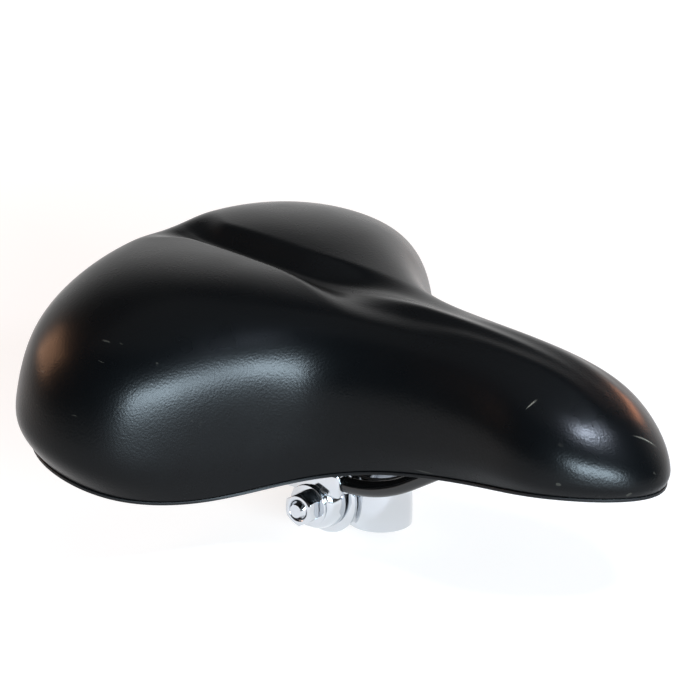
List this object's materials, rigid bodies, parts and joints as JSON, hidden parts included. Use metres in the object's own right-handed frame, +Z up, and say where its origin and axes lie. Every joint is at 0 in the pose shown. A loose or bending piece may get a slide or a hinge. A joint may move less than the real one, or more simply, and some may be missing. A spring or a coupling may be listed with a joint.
{
  "type": "bicycle saddle",
  "caption": "Wide padded bicycle saddle with a black vinyl cover, moulded pan, bent wire rail and chromed tilting clip for a plain seat post.",
  "frame": {"origin": "on the seat-post axis, at the height of the clamp bolt", "axes": "+X towards the nose, +Y to the rider's left, +Z up along the seat post"},
  "size_m": [0.2686, 0.2388, 0.1173],
  "materials": {
    "cover": "satin black vinyl",
    "foam": "open-cell foam",
    "pan": "moulded polypropylene",
    "rail": "gloss black",
    "rubber": "matt",
    "zinc": "zinc plated",
    "chrome": "bright"
  },
  "bodies": {
    "seatpost_band": {"clamp_band": "chrome"},
    "rail_clamps": {"inner_plate_left": "chrome", "inner_plate_right": "chrome", "outer_plate_left": "chrome", "outer_plate_right": "chrome", "washer_left": "zinc", "washer_right": "zinc", "nut_left": "chrome", "nut_right": "chrome", "clamp_bolt": "zinc"},
    "saddle": {"cover_skin": "cover", "foam_pad": "foam", "base_shell": "pan", "rail_wire": "rail", "rail_bush_left": "rubber", "rail_bush_right": "rubber", "nose_clip": "zinc", "nose_screw_front": "zinc", "nose_screw_rear": "zinc"}
  },
  "joints": [
    {"name": "saddle_tilt", "type": "hinge", "parent": "seatpost_band", "child": "rail_clamps", "pos_m": [-0.0175, 0, 0], "axis": [0, 1, 0], "range_deg": [-15, 15]},
    {"name": "saddle_slide", "type": "slide", "parent": "rail_clamps", "child": "saddle", "axis": [1, 0, 0], "range_m": [-0.006, 0.012]}
  ]
}
